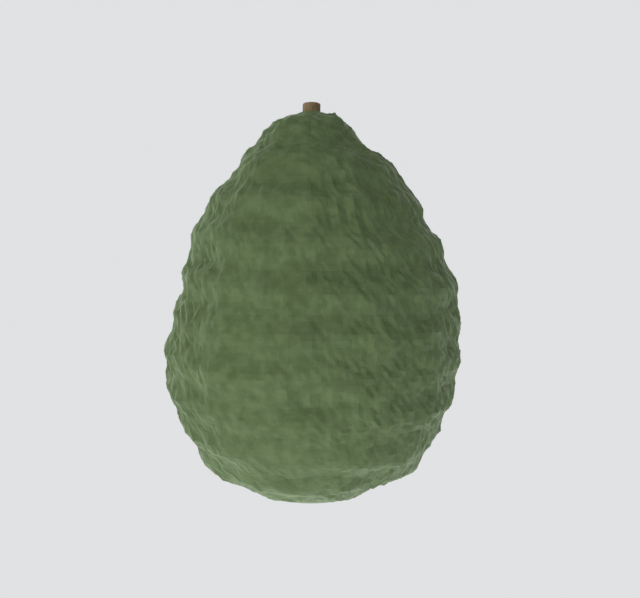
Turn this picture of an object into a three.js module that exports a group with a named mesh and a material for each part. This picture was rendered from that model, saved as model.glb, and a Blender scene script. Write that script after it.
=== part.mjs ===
// A whole avocado, standing upright on the small flat spot of its broad end, with the cut
// stub of its stem in a small pit at the top. Millimetres, +Z up. The origin is the centre
// of the flat spot, and the front of the fruit faces -Y.
import * as THREE from 'three';

// Fruit: its profile runs from the bottom, angle 0, to the top, angle PI
const FRUIT_HEIGHT = 100;
const FOOT_SINK = 1.3; // how much of the round bottom the flat spot takes away
const GIRTH = [36.7, 8.5, 1.5, 1.6, -4.3]; // radius over the angle's sine, in powers of its cosine
const BOW = { shift: 1.6, height: 54.8, reach: 13 }; // the middle bulges this much towards +X

// Leaning waves that ring the fruit: height of the wave, distance from crest to crest, how much
// higher it runs for each millimetre towards -X and +Y, and the height of one crest on the axis
const RINGS = [
  { rise: 0.5, pitch: 9.7, leanX: 0.04, leanY: 0.15, crest: 48.2 },
  { rise: 0.22, pitch: 16.3, leanX: 0.59, leanY: 0.03, crest: 87.9 },
  { rise: -0.25, pitch: 27.7, leanX: -0.36, leanY: 0.15, crest: 61.6 },
  { rise: 0.16, pitch: 13.1, leanX: -0.21, leanY: -0.19, crest: 3.4 },
];

// Faint upright flutes, counted round the fruit, with the azimuth of one crest in degrees. They
// rise this much at the girth and fade towards both ends.
const FLUTES = { rise: 0.2, count: 13, azimuth: -6 };

// Single dents and swells: azimuth in degrees from the front towards +X, height, reach, rise
const SWELLS = [
  { azimuth: -90, height: 99.3, reach: 1.9, rise: 0.4 },
  { azimuth: -90, height: 84.9, reach: 3.2, rise: -1.9 },
  { azimuth: -90, height: 60.1, reach: 2.8, rise: -0.8 },
  { azimuth: -90, height: 12.8, reach: 3.0, rise: -0.2 },
  { azimuth: -90, height: 6.6, reach: 3.7, rise: 1.2 },
  { azimuth: -60, height: 9.7, reach: 3.2, rise: 0.2 },
  { azimuth: -20, height: 2.1, reach: 2.1, rise: 1.5 },
  { azimuth: 51, height: 1.2, reach: 1.5, rise: 1.1 },
  { azimuth: 63, height: 13.1, reach: 2.5, rise: 1.0 },
  { azimuth: 90, height: 8.8, reach: 3.6, rise: 1.3 },
  { azimuth: 90, height: 42.4, reach: 3.6, rise: 1.0 },
  { azimuth: 90, height: 81.0, reach: 3.0, rise: 1.1 },
  { azimuth: 90, height: 93.3, reach: 4.0, rise: -0.6 },
  { azimuth: 90, height: 98.5, reach: 1.8, rise: 0.9 },
];
const SWELL_SPREAD = 0.6; // how far a swell reaches round the fruit, in radians

// The skin is laid out in columns and rows. Its pebbles are lattices of seeded rises, each with a
// cell of so many columns and rows. The cells take in twice as many columns each time that the
// fruit's radius halves, this often at most.
const COLUMNS = 96;
const ROWS = 50;
const PEBBLES = [
  { cell: 2, rise: 0.14, seed: 3 },
  { cell: 1, rise: 0.43, seed: 7 },
];
const WIDENINGS = 3;

// The relief grows from nothing over this height above the flat spot, and this far from the pit
const FOOT_BLEND = 2.5;
const PIT_BLEND = 3;

// Pit at the top, and the stem that stands in it
const PIT_RIM_RADIUS = 3.1;
const PIT_RADIUS = 2.75;
const PIT_FLOOR = 95.7;
const PIT_ROUNDING = 0.3;
const STEM_RADIUS = 2.3;
const STEM_BOTTOM = 96;
const STEM_TOP = 102.1;
const STEM_BEVEL = 0.15;
const STEM_DOME = 0.08;
const STEM_RIDGES = { count: 5, share: 0.012, twist: 0.12 };
const STEM_SIDES = 40;
const STEM_ROWS = 9;

// Search for the rim's profile angle: where it starts, and how often its range is halved
const SEARCH_START = 0.9 * Math.PI;
const SEARCH_HALVINGS = 40;

const { clamp, degToRad, lerp } = THREE.MathUtils;

// The value of a polynomial whose coefficients rise in power
function polynomial(coefficients, value) {
  return coefficients.reduceRight((sum, coefficient) => sum * value + coefficient, 0);
}

// A step from 0 to 1 that starts and ends level
function smoothStep(value) {
  const share = clamp(value, 0, 1);
  return share * share * (3 - 2 * share);
}

// A number from -1 to 1 that is always the same for the same three whole numbers
function seededRise(column, row, seed) {
  const wave = Math.sin(column * 127.1 + (row + seed) * 311.7) * 43758.5453;
  return 2 * (wave - Math.floor(wave)) - 1;
}

// Seeded rises at a lattice's nodes, joined by straight lines between them
function latticeRise(column, row, across, up, seed) {
  const left = Math.floor(column / across);
  const right = (left + 1) % (COLUMNS / across);
  const low = Math.floor(row / up);
  const shareAcross = column / across - left;
  const levels = [low, low + 1].map((level) => {
    return lerp(seededRise(left, level, seed), seededRise(right, level, seed), shareAcross);
  });
  return lerp(levels[0], levels[1], row / up - low);
}

// Height of the pebbles of all sizes
function pebbleRise(column, row, radius) {
  const narrowing = clamp(Math.log2(GIRTH[0] / radius), 0, WIDENINGS);
  let rise = 0;
  for (let widening = 0; widening <= WIDENINGS; widening += 1) {
    const weight = Math.max(1 - Math.abs(narrowing - widening), 0);
    for (const pebbles of PEBBLES) {
      const across = pebbles.cell * 2 ** widening;
      const height = latticeRise(column, row, across, pebbles.cell, pebbles.seed + widening);
      rise += weight * pebbles.rise * height;
    }
  }
  return rise;
}

// Radius and height of the smooth fruit at a profile angle
function profilePoint(angle) {
  const radius = Math.sin(angle) * polynomial(GIRTH, Math.cos(angle));
  const height = (FRUIT_HEIGHT + FOOT_SINK) * (1 - Math.cos(angle)) / 2 - FOOT_SINK;
  return new THREE.Vector2(radius, height);
}

// Direction square to the profile, pointing out of the fruit
function profileNormal(angle) {
  const step = 1e-4;
  const along = profilePoint(angle + step).sub(profilePoint(angle - step));
  return new THREE.Vector2(along.y, -along.x).normalize();
}

// Height of the rings, flutes and swells over the smooth fruit
function waveRise(azimuth, radius, height) {
  const x = radius * Math.sin(azimuth);
  const y = -radius * Math.cos(azimuth);
  let rise = 0;
  for (const ring of RINGS) {
    const level = height + ring.leanX * x - ring.leanY * y - ring.crest;
    rise += ring.rise * Math.cos(2 * Math.PI * level / ring.pitch);
  }
  const fluteTurn = azimuth - degToRad(FLUTES.azimuth);
  rise += FLUTES.rise * (radius / GIRTH[0]) * Math.cos(FLUTES.count * fluteTurn);
  for (const swell of SWELLS) {
    const turn = azimuth - degToRad(swell.azimuth);
    const around = Math.atan2(Math.sin(turn), Math.cos(turn)) / SWELL_SPREAD;
    const up = (height - swell.height) / swell.reach;
    rise += swell.rise * Math.exp(-around * around - up * up);
  }
  return rise;
}

// A point of the finished skin at a crossing of the columns and rows
function skinPoint(column, row, angle) {
  const azimuth = 2 * Math.PI * column / COLUMNS;
  const smooth = profilePoint(angle);
  const blend = smoothStep(smooth.y / FOOT_BLEND) * smoothStep((smooth.x - PIT_RIM_RADIUS) / PIT_BLEND);
  const rise = waveRise(azimuth, smooth.x, smooth.y) + pebbleRise(column, row, smooth.x);
  const skin = smooth.addScaledVector(profileNormal(angle), rise * blend);
  const bow = BOW.shift * Math.exp(-(((skin.y - BOW.height) / BOW.reach) ** 2));
  return new THREE.Vector3(skin.x * Math.sin(azimuth) + bow, -skin.x * Math.cos(azimuth), skin.y);
}

// A level ring of points round the axis
function levelRing(sides, radiusAt, height) {
  return Array.from({ length: sides }, (unused, side) => {
    const azimuth = 2 * Math.PI * side / sides;
    const radius = radiusAt(azimuth);
    return new THREE.Vector3(radius * Math.sin(azimuth), -radius * Math.cos(azimuth), height);
  });
}

// One closed surface through rings of points, from a point below the first to one above the last
function closedSurface(firstPoint, rings, lastPoint) {
  const sides = rings[0].length;
  const points = [firstPoint, ...rings.flat(), lastPoint];
  const lastIndex = points.length - 1;
  const at = (ring, side) => 1 + ring * sides + side % sides;
  const triangles = [];
  for (let side = 0; side < sides; side += 1) {
    triangles.push(0, at(0, side + 1), at(0, side));
    for (let ring = 0; ring + 1 < rings.length; ring += 1) {
      triangles.push(at(ring, side), at(ring, side + 1), at(ring + 1, side));
      triangles.push(at(ring, side + 1), at(ring + 1, side + 1), at(ring + 1, side));
    }
    triangles.push(at(rings.length - 1, side), at(rings.length - 1, side + 1), lastIndex);
  }
  const geometry = new THREE.BufferGeometry().setFromPoints(points);
  geometry.setIndex(triangles);
  geometry.computeVertexNormals();
  return geometry;
}

// The profile angle where the flat spot starts
function footAngle() {
  return Math.acos(1 - 2 * FOOT_SINK / (FRUIT_HEIGHT + FOOT_SINK));
}

// The profile angle near the top where the smooth fruit has the rim's radius, by halving
function rimAngle() {
  let low = SEARCH_START;
  let high = Math.PI;
  for (let halving = 0; halving < SEARCH_HALVINGS; halving += 1) {
    const middle = (low + high) / 2;
    if (profilePoint(middle).x > PIT_RIM_RADIUS) {
      low = middle;
    } else {
      high = middle;
    }
  }
  return high;
}

// The fruit: the flat spot, the skin in rows up to the rim, and the pit for the stem
function fruitGeometry() {
  const start = footAngle();
  const end = rimAngle();
  const rings = [];
  for (let row = 0; row <= ROWS; row += 1) {
    const angle = start + (end - start) * row / ROWS;
    const ring = [];
    for (let column = 0; column < COLUMNS; column += 1) {
      ring.push(skinPoint(column, row, angle));
    }
    rings.push(ring);
  }
  for (const point of rings[0]) {
    point.z = 0;
  }
  const rimHeight = profilePoint(end).y;
  rings.push(levelRing(COLUMNS, () => PIT_RADIUS, rimHeight - PIT_ROUNDING));
  rings.push(levelRing(COLUMNS, () => PIT_RADIUS, PIT_FLOOR));
  return closedSurface(new THREE.Vector3(0, 0, 0), rings, new THREE.Vector3(0, 0, PIT_FLOOR));
}

// The stem: a short cut stub with faint ridges, a bevelled edge and a slightly domed end
function stemGeometry() {
  const ridged = (scale, height) => (azimuth) => {
    const turn = STEM_RIDGES.count * (azimuth + STEM_RIDGES.twist * (height - STEM_BOTTOM));
    return scale * STEM_RADIUS * (1 + STEM_RIDGES.share * Math.cos(turn));
  };
  const bevelShare = 1 - STEM_BEVEL / STEM_RADIUS;
  const rings = [];
  for (let row = 0; row <= STEM_ROWS; row += 1) {
    const height = STEM_BOTTOM + (STEM_TOP - STEM_BEVEL - STEM_BOTTOM) * row / STEM_ROWS;
    rings.push(levelRing(STEM_SIDES, ridged(1, height), height));
  }
  rings.push(levelRing(STEM_SIDES, ridged(bevelShare, STEM_TOP), STEM_TOP));
  const foot = new THREE.Vector3(0, 0, STEM_BOTTOM);
  return closedSurface(foot, rings, new THREE.Vector3(0, 0, STEM_TOP + STEM_DOME));
}

// A named sub-part with a material of its own
function subPart(name, geometry, material) {
  const mesh = new THREE.Mesh(geometry, material);
  mesh.name = name;
  return mesh;
}

const skinMaterial = new THREE.MeshStandardMaterial({ color: '#586849', roughness: 0.6, metalness: 0 });
const stemMaterial = new THREE.MeshStandardMaterial({ color: '#6c5a46', roughness: 0.85, metalness: 0 });

const avocado = new THREE.Group();
avocado.add(subPart('fruit', fruitGeometry(), skinMaterial));
avocado.add(subPart('stem', stemGeometry(), stemMaterial));

export default avocado;
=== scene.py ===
# The looks of a whole avocado that stands upright on a small flat spot: the finely pebbled
# skin, the cut stub of the stem, their materials, a pale floor and soft studio light.
import math

import bpy
import numpy as np
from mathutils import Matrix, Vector


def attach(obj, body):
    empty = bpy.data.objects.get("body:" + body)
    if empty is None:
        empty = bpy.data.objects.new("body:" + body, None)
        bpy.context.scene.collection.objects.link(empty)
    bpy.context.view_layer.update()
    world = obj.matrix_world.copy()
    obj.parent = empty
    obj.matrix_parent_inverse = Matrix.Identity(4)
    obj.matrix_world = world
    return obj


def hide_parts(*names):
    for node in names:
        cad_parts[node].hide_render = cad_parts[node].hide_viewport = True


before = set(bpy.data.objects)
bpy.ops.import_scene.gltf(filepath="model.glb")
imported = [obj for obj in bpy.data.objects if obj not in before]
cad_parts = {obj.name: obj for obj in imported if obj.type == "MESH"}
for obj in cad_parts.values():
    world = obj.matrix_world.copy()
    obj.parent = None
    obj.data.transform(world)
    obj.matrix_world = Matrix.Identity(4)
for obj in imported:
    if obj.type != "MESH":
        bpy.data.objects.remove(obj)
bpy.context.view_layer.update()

MM = 0.001
TURN = 2 * math.pi

# Fruit, in millimetres: its profile runs from the bottom, angle 0, to the top, angle pi. The
# radius is the angle's sine times a polynomial of its cosine, with the girth's coefficients.
# The bow shifts the fruit along X round one height.
FRUIT_HEIGHT = 100
FOOT_SINK = 1.3
GIRTH = (36.7, 8.5, 1.5, 1.6, -4.3)
BOW_SHIFT = 1.6
BOW_HEIGHT = 54.8
BOW_REACH = 13
ANGLE_STEP = 1e-4

# Leaning waves round the fruit: rise, pitch, lean along X, lean along Y, height of a crest
RINGS = (
    (0.5, 9.7, 0.04, 0.15, 48.2),
    (0.22, 16.3, 0.59, 0.03, 87.9),
    (-0.25, 27.7, -0.36, 0.15, 61.6),
    (0.16, 13.1, -0.21, -0.19, 3.4),
)
FLUTE_RISE = 0.2
FLUTE_COUNT = 13
FLUTE_AZIMUTH = -6

# Single dents and swells: azimuth in degrees from the front towards +X, height, reach, rise.
# They spread over this many radians round the fruit.
SWELLS = (
    (-90, 99.3, 1.9, 0.4),
    (-90, 84.9, 3.2, -1.9),
    (-90, 60.1, 2.8, -0.8),
    (-90, 12.8, 3.0, -0.2),
    (-90, 6.6, 3.7, 1.2),
    (-60, 9.7, 3.2, 0.2),
    (-20, 2.1, 2.1, 1.5),
    (51, 1.2, 1.5, 1.1),
    (63, 13.1, 2.5, 1.0),
    (90, 8.8, 3.6, 1.3),
    (90, 42.4, 3.6, 1.0),
    (90, 81.0, 3.0, 1.1),
    (90, 93.3, 4.0, -0.6),
    (90, 98.5, 1.8, 0.9),
)
SWELL_SPREAD = 0.6

# Pebbles of the skin: lattices of seeded rises over a grid of columns and rows. Each gives the
# columns and rows of its cell, its rise, its seed and how far it sinks into the skin as a share
# of its rise. The cells take in twice as many columns each time that the radius halves, this
# often at most. The mesh has a node at every half column and half row, and divides the facets
# between them. The skin lies a little inside the solid, by the inset in millimetres.
COLUMNS = 96
ROWS = 50
FINEST_CELL = 0.5
PEBBLES = (
    (2, 0.14, 3, 0),
    (1, 0.43, 7, 0),
    (FINEST_CELL, 0.38, 401, 0.9),
)
WIDENINGS = 3
INSET = 0.09
NODES_PER_CELL = 2
DIVISIONS = 2

# A seeded rise is what follows the point in a sine that is stretched very far
SEED_COLUMN_TURN = 127.1
SEED_ROW_TURN = 311.7
SEED_STRETCH = 43758.5453

# One cheek of the fruit is softer: its azimuth and reach in degrees, and the share of their rise
# that the finest pebbles lose there. Its facets bend evenly instead of along their diagonals.
CHEEK_AZIMUTH = -16
CHEEK_REACH = 33
CHEEK_LOSS = 0.6

# Flat spot and pit, in millimetres: the relief fades in above the one and outside the other. The
# lip gives the radius of each ring of the pit and its height over the rim. The rim's profile
# angle is searched for between the start and the top, halving the range at each step.
FOOT_BLEND = 2.5
FOOT_RINGS = (2.5, 5.0, 7.5)
PIT_BLEND = 3
PIT_RIM_RADIUS = 3.1
PIT_LIP = ((2.75, -0.12), (2.5, -0.4), (2.4, -0.8), (2.4, -3.4))
PIT_SEARCH_START = 0.9 * math.pi
PIT_SEARCH_STEPS = 40

# Stem, in millimetres, with its ridges: how many, rise as a share of the radius, twist in
# radians per millimetre, phase
STEM_RADIUS = 2.3
STEM_BOTTOM = 96
STEM_TOP = 102.1
STEM_WEAR = 0.12
STEM_DOME = 0.07
STEM_RIDGES = (
    (5, 0.016, 0.6, 0),
    (23, 0.010, 1.3, 5.42),
)
STEM_SIDES = 96
STEM_LEVELS = 40
STEM_EDGE_STEPS = 6
STEM_END_SHARES = (0.8, 0.6, 0.4, 0.2)

# Skin: colours in linear light, a darker and a lighter shade of each tone; textures, their
# scales in features per metre; the values of a texture between which a ramp rises
SKIN_DARK = ((0.108, 0.157, 0.068, 1), (0.122, 0.177, 0.080, 1))
SKIN_PALE = ((0.136, 0.194, 0.086, 1), (0.153, 0.218, 0.100, 1))
LENTICEL_COLOUR = (0.205, 0.262, 0.125, 1)
LENTICEL_STRENGTH = 0.3
LENTICEL_SCALE = 420
LENTICEL_EDGE = (0.16, 0.06)
SHADE_NOISE = {"Scale": 80, "Detail": 2}
SHADE_SQUEEZE = 3
TONE_NOISE = {"Scale": 380, "Detail": 2}
PORE_NOISE = {"Scale": 1400, "Detail": 3}
NOISE_MIDDLE = (0.35, 0.65)
SKIN_FINISH = {
    "Roughness": 0.36,
    "Specular IOR Level": 0.05,
    "Sheen Weight": 0.35,
    "Sheen Roughness": 0.3,
    "Sheen Tint": (0.56, 0.85, 0.38, 1),
}
SKIN_BUMP = {"Strength": 0.25, "Distance": 0.0001}

# Stem: colours in linear light, darker and lighter fibres at the foot and the tip, and the
# grain of the cut end; heights in metres where the bark dries out and where the cut starts
STEM_FOOT = ((0.155, 0.135, 0.058, 1), (0.300, 0.265, 0.125, 1))
STEM_TIP = ((0.192, 0.126, 0.067, 1), (0.358, 0.253, 0.147, 1))
STEM_CUT = ((0.185, 0.140, 0.088, 1), (0.330, 0.265, 0.175, 1))
DRY_HEIGHTS = (0.0985, 0.1015)
CUT_HEIGHTS = (0.10205, 0.10211)
FIBRE_NOISE = {"Scale": 2200, "Detail": 5}
FIBRE_SQUEEZE = 0.15
FIBRE_MIDDLE = (0.3, 0.7)
GRAIN_NOISE = {"Scale": 1800, "Detail": 3}
STEM_FINISH = {"Roughness": 0.8}
STEM_BUMP = {"Strength": 0.6, "Distance": 0.0002}

# Camera, in metres: its lens is given by the focal length in pixels of the photograph
PHOTO_WIDTH = 640
FOCAL_PIXELS = 722
SENSOR_WIDTH = 36
CAMERA_PLACE = (0.00222, -0.1897, 0.0509)
NEAREST_SEEN = 0.01

# Floor and wall, in metres. The last share runs the floor's edge a little way under the wall.
FLOOR_RADIUS = 0.55
FLOOR_SHARES = (0.0001, 0.25, 0.5, 0.75, 1.02)
WALL_BEND = 0.40
WALL_STEPS = 16
WALL_TOP = 1.1
SHEET_SIDES = 96
PAPER_FINISH = {
    "Base Color": (0.006, 0.006, 0.006, 1),
    "Roughness": 1,
    "Specular IOR Level": 0,
    "Emission Color": (0.735, 0.742, 0.757, 1),
    "Emission Strength": 1.02,
}

# Soft square lamps: name, place, target, size in metres, power in watts, seen in reflections.
# The under light lies on the floor and shines up, as light that the floor throws back.
LAMPS = (
    ("key_light", (-0.45, -0.40, 0.03), (0, 0, 0.05), 0.25, 1.5, False),
    ("side_light", (-0.60, 0, 0.05), (0, 0, 0.05), 0.25, 0.32, True),
    ("left_rim_light", (-0.47, 0.38, 0.08), (0, 0, 0.05), 0.18, 1.6, False),
    ("top_light", (-0.06, 0, 0.70), (0, 0, 0.05), 0.40, 0.53, False),
    ("fill_light", (0, -0.50, 0.45), (0, 0, 0.05), 0.25, 1.07, False),
    ("under_light", (-0.01, -0.02, 0.001), (-0.01, -0.02, 1), 0.24, 0.045, True),
)
WORLD_FINISH = {"Color": (0.98, 0.99, 1.0, 1), "Strength": 0.02}


def polynomial(coefficients, value):
    """The value of a polynomial whose coefficients rise in power."""
    return sum(coefficient * value**power for power, coefficient in enumerate(coefficients))


def smooth_step(value):
    """A step from 0 to 1 that starts and ends level."""
    share = np.clip(value, 0, 1)
    return share * share * (3 - 2 * share)


def shortest_turn(azimuth, degrees):
    """How far azimuths lie from a direction, in radians from -pi to pi."""
    turn = azimuth - math.radians(degrees)
    return np.arctan2(np.sin(turn), np.cos(turn))


def profile(angle):
    """Radius and height of the smooth fruit at a profile angle."""
    radius = np.sin(angle) * polynomial(GIRTH, np.cos(angle))
    height = (FRUIT_HEIGHT + FOOT_SINK) * (1 - np.cos(angle)) / 2 - FOOT_SINK
    return radius, height


def profile_normal(angle):
    """Direction square to the profile, pointing out of the fruit."""
    radius_after, height_after = profile(angle + ANGLE_STEP)
    radius_before, height_before = profile(angle - ANGLE_STEP)
    along_radius = radius_after - radius_before
    along_height = height_after - height_before
    length = np.hypot(along_radius, along_height)
    return along_height / length, -along_radius / length


def seeded_rise(column, row, seed):
    """A number from -1 to 1 that is always the same for the same whole numbers."""
    turn = column * SEED_COLUMN_TURN + (row + seed) * SEED_ROW_TURN
    wave = np.sin(turn) * SEED_STRETCH
    return 2 * (wave - np.floor(wave)) - 1


def lattice_rise(column, row, across, up, seed):
    """Seeded rises at a lattice's nodes, joined by straight lines between them."""
    left = np.floor(column / across)
    right = (left + 1) % (COLUMNS / across)
    low = np.floor(row / up)
    share_across = column / across - left
    share_up = row / up - low
    levels = []
    for level in (low, low + 1):
        left_rise = seeded_rise(left, level, seed)
        right_rise = seeded_rise(right, level, seed)
        levels.append(left_rise + (right_rise - left_rise) * share_across)
    return levels[0] + (levels[1] - levels[0]) * share_up


def cheek(column):
    """How far a column lies on the cheek, from 0 to 1."""
    around = np.degrees(shortest_turn(TURN * column / COLUMNS, CHEEK_AZIMUTH)) / CHEEK_REACH
    return np.exp(-(around**2))


def pebble_rise(column, row, radius):
    """Height of the pebbles of all sizes."""
    narrowing = np.clip(np.log2(GIRTH[0] / radius), 0, WIDENINGS)
    total = 0
    for widening in range(WIDENINGS + 1):
        weight = np.maximum(1 - np.abs(narrowing - widening), 0)
        for cell, rise, seed, sinking in PEBBLES:
            height = lattice_rise(column, row, cell * 2**widening, cell, seed + widening)
            kept = 1 - CHEEK_LOSS * cheek(column) if cell == FINEST_CELL else 1
            total = total + weight * rise * kept * (height - sinking)
    return total


def wave_rise(azimuth, radius, height):
    """Height of the rings, flutes and swells over the smooth fruit."""
    x = radius * np.sin(azimuth)
    y = -radius * np.cos(azimuth)
    flutes = np.cos(FLUTE_COUNT * (azimuth - math.radians(FLUTE_AZIMUTH)))
    rise = FLUTE_RISE * radius / GIRTH[0] * flutes
    for ring_rise, pitch, lean_x, lean_y, crest in RINGS:
        rise = rise + ring_rise * np.cos(TURN * (height + lean_x * x - lean_y * y - crest) / pitch)
    for degrees, swell_height, reach, swell_rise in SWELLS:
        around = shortest_turn(azimuth, degrees) / SWELL_SPREAD
        up = (height - swell_height) / reach
        rise = rise + swell_rise * np.exp(-(around**2) - up**2)
    return rise


def skin_points(column, row, angle):
    """Points of the skin, in millimetres, at the crossings of columns and rows."""
    azimuth = TURN * column / COLUMNS
    radius, height = profile(angle)
    out, up = profile_normal(angle)
    blend = smooth_step(height / FOOT_BLEND) * smooth_step((radius - PIT_RIM_RADIUS) / PIT_BLEND)
    relief = wave_rise(azimuth, radius, height) + pebble_rise(column, row, radius)
    rise = (relief - INSET) * blend
    skin_radius = radius + rise * out
    skin_height = height + rise * up
    bow = BOW_SHIFT * np.exp(-(((skin_height - BOW_HEIGHT) / BOW_REACH) ** 2))
    x = skin_radius * np.sin(azimuth) + bow
    y = -skin_radius * np.cos(azimuth)
    return np.stack([x, y, skin_height], axis=-1)


def divide_facets(nodes):
    """Points laid between the lattice's nodes: on two flat triangles for each four nodes, and
    towards the cheek on an evenly bent patch."""
    rows = np.arange((len(nodes) - 1) * DIVISIONS + 1)[:, None] / DIVISIONS
    columns = np.arange(nodes.shape[1] * DIVISIONS)[None, :] / DIVISIONS
    low = np.minimum(np.floor(rows), len(nodes) - 2).astype(int)
    left = np.floor(columns).astype(int)
    right = (left + 1) % nodes.shape[1]
    up = (rows - low)[..., None]
    across = (columns - left)[..., None]
    low_left = nodes[low, left]
    low_right = nodes[low, right]
    top_left = nodes[low + 1, left]
    top_right = nodes[low + 1, right]
    lower = low_left + (low_right - low_left) * across + (top_left - low_left) * up
    upper = top_right + (top_left - top_right) * (1 - across) + (low_right - top_right) * (1 - up)
    flat = np.where(across + up <= 1, lower, upper)
    low_side = low_left + (low_right - low_left) * across
    top_side = top_left + (top_right - top_left) * across
    bent = low_side + (top_side - low_side) * up
    return flat + (bent - flat) * cheek(columns / NODES_PER_CELL)[..., None]


def level_ring(azimuths, radius, height):
    """One ring of points round the axis."""
    x = radius * np.sin(azimuths)
    y = -radius * np.cos(azimuths)
    return np.stack([x, y, np.full_like(azimuths, height)], axis=-1)


def foot_angle():
    """The profile angle where the flat spot starts."""
    return math.acos(1 - 2 * FOOT_SINK / (FRUIT_HEIGHT + FOOT_SINK))


def rim_angle():
    """The profile angle near the top where the smooth fruit has the rim's radius."""
    low = PIT_SEARCH_START
    high = math.pi
    for _ in range(PIT_SEARCH_STEPS):
        middle = (low + high) / 2
        if profile(middle)[0] > PIT_RIM_RADIUS:
            low = middle
        else:
            high = middle
    return high


def new_piece(name, points, faces):
    """A smooth-shaded mesh object in the scene."""
    mesh = bpy.data.meshes.new(name)
    mesh.from_pydata(points, [], faces)
    mesh.polygons.foreach_set("use_smooth", np.ones(len(mesh.polygons), bool))
    piece = bpy.data.objects.new(name, mesh)
    bpy.context.scene.collection.objects.link(piece)
    return piece


def closed_surface(name, rings, first_point, last_point):
    """A piece through rings of points in millimetres, closed by a point at each end."""
    ring_count, sides, _ = rings.shape
    points = np.vstack([[first_point], rings.reshape(-1, 3), [last_point]]) * MM
    side = np.arange(sides)
    after = (side + 1) % sides
    faces = [np.stack([0 * side, 1 + after, 1 + side], axis=1)]
    for ring in range(ring_count - 1):
        low = 1 + ring * sides
        high = low + sides
        faces.append(np.stack([low + side, low + after, high + side], axis=1))
        faces.append(np.stack([low + after, high + after, high + side], axis=1))
    last_ring = 1 + (ring_count - 1) * sides
    last = np.full_like(side, len(points) - 1)
    faces.append(np.stack([last_ring + side, last_ring + after, last], axis=1))
    return new_piece(name, points.tolist(), np.vstack(faces).tolist())


def build_fruit():
    """The fruit: flat spot, pebbled skin, and the lip where the skin closes on the stem."""
    start = foot_angle()
    end = rim_angle()
    column = np.arange(COLUMNS * NODES_PER_CELL)[None, :] / NODES_PER_CELL
    row = np.arange(ROWS * NODES_PER_CELL + 1)[:, None] / NODES_PER_CELL
    nodes = skin_points(column, row, start + (end - start) * row / ROWS)
    nodes[0, :, 2] = 0
    skin = divide_facets(nodes)
    azimuth = TURN * np.arange(skin.shape[1]) / skin.shape[1]
    foot = [level_ring(azimuth, radius, 0) for radius in FOOT_RINGS]
    rim_height = profile(end)[1]
    lip = [level_ring(azimuth, radius, rim_height + drop) for radius, drop in PIT_LIP]
    rings = np.concatenate([np.array(foot), skin, np.array(lip)])
    pit_bottom = (0, 0, rim_height + PIT_LIP[-1][1])
    return closed_surface("avocado_skin", rings, (0, 0, 0), pit_bottom)


def build_stem():
    """The stem: a cut stub with bark ridges, a worn edge and a slightly domed end."""
    azimuth = TURN * np.arange(STEM_SIDES) / STEM_SIDES
    rings = []
    for level in np.linspace(STEM_BOTTOM, STEM_TOP - STEM_WEAR, STEM_LEVELS):
        share = 1
        for count, rise, twist, phase in STEM_RIDGES:
            share = share + rise * np.cos(count * azimuth + twist * (level - STEM_BOTTOM) + phase)
        rings.append(level_ring(azimuth, STEM_RADIUS * share, level))
    shoulder = rings[-1]
    for step in range(1, STEM_EDGE_STEPS + 1):
        turn = TURN / 4 * step / STEM_EDGE_STEPS
        share = 1 - STEM_WEAR * (1 - math.cos(turn)) / STEM_RADIUS
        rings.append(shoulder * (share, share, 1) + (0, 0, STEM_WEAR * math.sin(turn)))
    edge = rings[-1]
    for share in STEM_END_SHARES:
        rings.append(edge * (share, share, 1) + (0, 0, STEM_DOME * (1 - share)))
    bottom = (0, 0, STEM_BOTTOM)
    top = (0, 0, STEM_TOP + STEM_DOME)
    return closed_surface("avocado_stem", np.array(rings), bottom, top)


def set_sockets(node, values):
    """Sets a node's own sockets by their names."""
    for name, value in values.items():
        node.inputs[name].default_value = value


def new_material(name, finish):
    """A node material, with its principled shader set to a finish."""
    material = bpy.data.materials.new(name)
    material.use_nodes = True
    shader = material.node_tree.nodes["Principled BSDF"]
    set_sockets(shader, finish)
    return material, shader


def mix_colours(tree, share, first, second):
    """A colour that runs from the first to the second as share goes from 0 to 1."""
    mixer = tree.nodes.new("ShaderNodeMix")
    mixer.data_type = "RGBA"
    tree.links.new(share, mixer.inputs["Factor"])
    for name, value in (("A", first), ("B", second)):
        socket = next(s for s in mixer.inputs if s.name == name and s.type == "RGBA")
        if isinstance(value, tuple):
            socket.default_value = value
        else:
            tree.links.new(value, socket)
    return next(s for s in mixer.outputs if s.type == "RGBA")


def ramp(tree, value, ends, top=1):
    """A share that goes smoothly from 0 at the first end to the top at the second."""
    ranger = tree.nodes.new("ShaderNodeMapRange")
    ranger.interpolation_type = "SMOOTHSTEP"
    set_sockets(ranger, {"From Min": ends[0], "From Max": ends[1], "To Max": top})
    tree.links.new(value, ranger.inputs["Value"])
    return ranger.outputs["Result"]


def noise(tree, place, settings):
    """A noise whose features are about one over its scale in metres across."""
    maker = tree.nodes.new("ShaderNodeTexNoise")
    set_sockets(maker, settings)
    tree.links.new(place, maker.inputs["Vector"])
    return maker.outputs["Fac"]


def squeezed(tree, place, share):
    """A place whose height is multiplied, so that textures are squeezed or drawn out in height."""
    mapping = tree.nodes.new("ShaderNodeMapping")
    mapping.inputs["Scale"].default_value = (1, 1, share)
    tree.links.new(place, mapping.inputs["Vector"])
    return mapping.outputs["Vector"]


def new_bump(tree, shader, height, strength_and_distance):
    """Relief in a surface's shading, from a texture of its height."""
    bump = tree.nodes.new("ShaderNodeBump")
    set_sockets(bump, strength_and_distance)
    tree.links.new(height, bump.inputs["Height"])
    tree.links.new(bump.outputs["Normal"], shader.inputs["Normal"])
    return bump


def lenticels(tree, place):
    """A share that is above 0 on small scattered dots."""
    cells = tree.nodes.new("ShaderNodeTexVoronoi")
    cells.inputs["Scale"].default_value = LENTICEL_SCALE
    tree.links.new(place, cells.inputs["Vector"])
    return ramp(tree, cells.outputs["Distance"], LENTICEL_EDGE, LENTICEL_STRENGTH)


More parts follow.
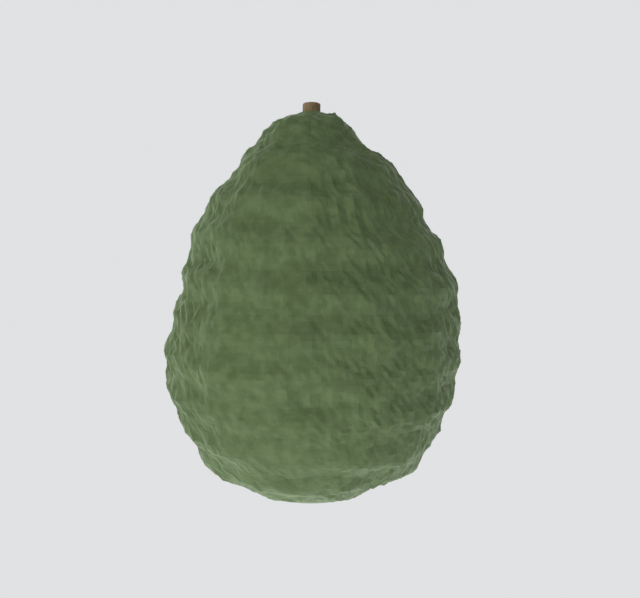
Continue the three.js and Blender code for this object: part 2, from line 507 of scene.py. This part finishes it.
def skin_material():
    """Olive-green skin: mottled tones, pale lenticels, flat pebbles, pores and a waxy sheen."""
    material, shader = new_material("avocado_skin_green", SKIN_FINISH)
    tree = material.node_tree
    place = tree.nodes.new("ShaderNodeTexCoord").outputs["Object"]
    level_place = squeezed(tree, place, SHADE_SQUEEZE)
    shade = ramp(tree, noise(tree, level_place, SHADE_NOISE), NOISE_MIDDLE)
    tone = ramp(tree, noise(tree, place, TONE_NOISE), NOISE_MIDDLE)
    dark = mix_colours(tree, shade, *SKIN_DARK)
    pale = mix_colours(tree, shade, *SKIN_PALE)
    mottled = mix_colours(tree, tone, dark, pale)
    base = mix_colours(tree, lenticels(tree, place), mottled, LENTICEL_COLOUR)
    tree.links.new(base, shader.inputs["Base Color"])
    bump = new_bump(tree, shader, noise(tree, place, PORE_NOISE), SKIN_BUMP)
    # Each facet is shaded flat, as the small plane patches of the skin are
    facets = tree.nodes.new("ShaderNodeNewGeometry")
    tree.links.new(facets.outputs["True Normal"], bump.inputs["Normal"])
    return material


def stem_material():
    """Dry brown stem: lengthwise fibres on the bark and a paler grain on the cut end."""
    material, shader = new_material("avocado_stem_brown", STEM_FINISH)
    tree = material.node_tree
    place = tree.nodes.new("ShaderNodeTexCoord").outputs["Object"]
    long_place = squeezed(tree, place, FIBRE_SQUEEZE)
    fibres = ramp(tree, noise(tree, long_place, FIBRE_NOISE), FIBRE_MIDDLE)
    grain = ramp(tree, noise(tree, place, GRAIN_NOISE), NOISE_MIDDLE)
    axes = tree.nodes.new("ShaderNodeSeparateXYZ")
    tree.links.new(place, axes.inputs["Vector"])
    dryness = ramp(tree, axes.outputs["Z"], DRY_HEIGHTS)
    cut_share = ramp(tree, axes.outputs["Z"], CUT_HEIGHTS)
    foot = mix_colours(tree, fibres, *STEM_FOOT)
    tip = mix_colours(tree, fibres, *STEM_TIP)
    bark = mix_colours(tree, dryness, foot, tip)
    cut = mix_colours(tree, grain, *STEM_CUT)
    base = mix_colours(tree, cut_share, bark, cut)
    tree.links.new(base, shader.inputs["Base Color"])
    new_bump(tree, shader, fibres, STEM_BUMP)
    return material


def turned_sheet(name, outline, material, start, turn):
    """A stage piece: an outline of radius and height, turned round the axis from a start."""
    sides = SHEET_SIDES + 1
    points = []
    for radius, height in outline:
        for side in range(sides):
            azimuth = start + turn * side / SHEET_SIDES
            points.append((radius * math.sin(azimuth), -radius * math.cos(azimuth), height))
    faces = []
    for low in range(0, len(points) - sides, sides):
        for side in range(SHEET_SIDES):
            faces.append((low + side, low + sides + side, low + sides + side + 1, low + side + 1))
    sheet = new_piece(name, points, faces)
    sheet.data.materials.append(material)
    return sheet


def build_stage():
    """A pale floor that turns up into a round wall with no visible edge."""
    paper, _ = new_material("studio_paper", PAPER_FINISH)
    floor = [(FLOOR_RADIUS * share, 0) for share in FLOOR_SHARES]
    turned_sheet("studio_floor", floor, paper, 0, TURN)
    wall = []
    for step in range(WALL_STEPS + 1):
        turn = TURN / 4 * step / WALL_STEPS
        radius = FLOOR_RADIUS + WALL_BEND * math.sin(turn)
        wall.append((radius, WALL_BEND * (1 - math.cos(turn))))
    wall.append((FLOOR_RADIUS + WALL_BEND, WALL_TOP))
    back_wall = turned_sheet("studio_back_wall", wall, paper, TURN / 4, TURN / 2)
    front_wall = turned_sheet("studio_front_wall", wall, paper, -TURN / 4, TURN / 2)
    # The wall doesn't light the fruit, and only its far half is mirrored in the skin
    back_wall.visible_diffuse = False
    front_wall.visible_diffuse = False
    front_wall.visible_glossy = False


def add_lamp(name, place, target, size, power, mirrored):
    """A soft square lamp that faces a target."""
    light = bpy.data.lights.new(name, "AREA")
    light.shape = "SQUARE"
    light.size = size
    light.energy = power
    lamp = bpy.data.objects.new(name, light)
    lamp.location = place
    direction = Vector(target) - Vector(place)
    lamp.rotation_euler = direction.to_track_quat("-Z", "Y").to_euler()
    lamp.visible_camera = False
    lamp.visible_glossy = mirrored
    bpy.context.scene.collection.objects.link(lamp)


def build_camera():
    """A level camera at the photograph's place, with its lens."""
    data = bpy.data.cameras.new("camera")
    data.sensor_fit = "HORIZONTAL"
    data.sensor_width = SENSOR_WIDTH
    data.lens = FOCAL_PIXELS * SENSOR_WIDTH / PHOTO_WIDTH
    data.clip_start = NEAREST_SEEN
    camera = bpy.data.objects.new("camera", data)
    camera.location = CAMERA_PLACE
    camera.rotation_euler = (TURN / 4, 0, 0)
    bpy.context.scene.collection.objects.link(camera)
    bpy.context.scene.camera = camera


def build_world():
    """Even pale light from outside the stage."""
    world = bpy.data.worlds.new("studio_air")
    world.use_nodes = True
    set_sockets(world.node_tree.nodes["Background"], WORLD_FINISH)
    bpy.context.scene.world = world


def main():
    """The camera, the fruit with its stem, the stage and its light."""
    build_camera()
    fruit = build_fruit()
    fruit.data.materials.append(skin_material())
    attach(fruit, "root")
    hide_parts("fruit")
    stem = build_stem()
    stem.data.materials.append(stem_material())
    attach(stem, "root")
    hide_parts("stem")
    build_stage()
    build_world()
    for lamp in LAMPS:
        add_lamp(*lamp)
    bpy.context.scene.view_settings.view_transform = "Standard"


main()
